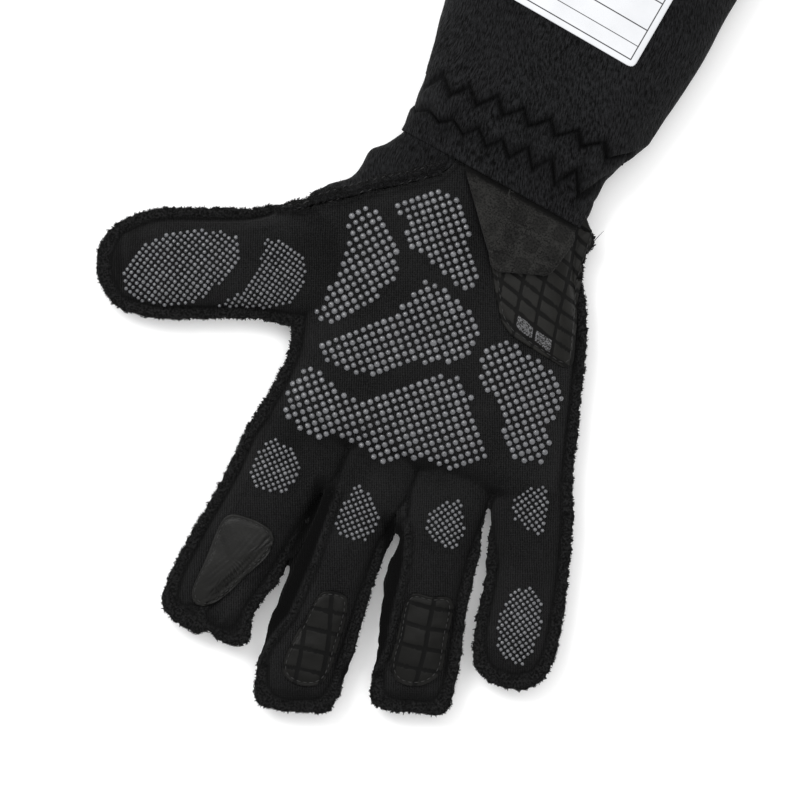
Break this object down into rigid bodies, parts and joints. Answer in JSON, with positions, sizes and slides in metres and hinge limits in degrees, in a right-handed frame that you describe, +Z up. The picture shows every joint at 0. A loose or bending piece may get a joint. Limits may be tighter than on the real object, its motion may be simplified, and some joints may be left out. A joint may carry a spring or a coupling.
{
  "type": "racing glove",
  "caption": "Right-hand racing glove lying palm up, with outward seams, silicone grip fields, leather tip patches and a flared gathered cuff.",
  "frame": {"origin": "middle of the footprint, on the surface that the glove lies on", "axes": "+Z up out of the palm, +Y from the fingertips to the cuff's opening, +X from the thumb to the little finger"},
  "size_m": [0.1954, 0.3186, 0.0292],
  "materials": {
    "knit": "matte fine knit",
    "brushed_knit": "matte brushed knit",
    "grip_silicone": "satin raised dots",
    "leather": "smooth satin",
    "printed_leather": "satin with a printed grid",
    "tab_cloth": "matte with a faint printed grid",
    "label_cloth": "matte woven"
  },
  "bodies": {
    "root": {"palm_panel": "knit", "back_panel": "knit", "fork_index_middle": "knit", "fork_middle_ring": "knit", "fork_ring_little": "knit", "cuff": "brushed_knit", "grip_thumb_tip": "grip_silicone", "grip_thumb_root": "grip_silicone", "grip_palm_thumb": "grip_silicone", "grip_palm_wrist": "grip_silicone", "grip_palm_centre": "grip_silicone", "grip_palm_front": "grip_silicone", "grip_palm_side": "grip_silicone", "grip_index": "grip_silicone", "grip_middle": "grip_silicone", "grip_ring": "grip_silicone", "grip_little": "grip_silicone", "grip_little_tip": "grip_silicone", "tip_patch_index": "leather", "tip_patch_middle": "printed_leather", "tip_patch_ring": "printed_leather", "heel_patch": "printed_leather", "wrist_tab": "tab_cloth", "cuff_label": "label_cloth"}
  },
  "joints": []
}
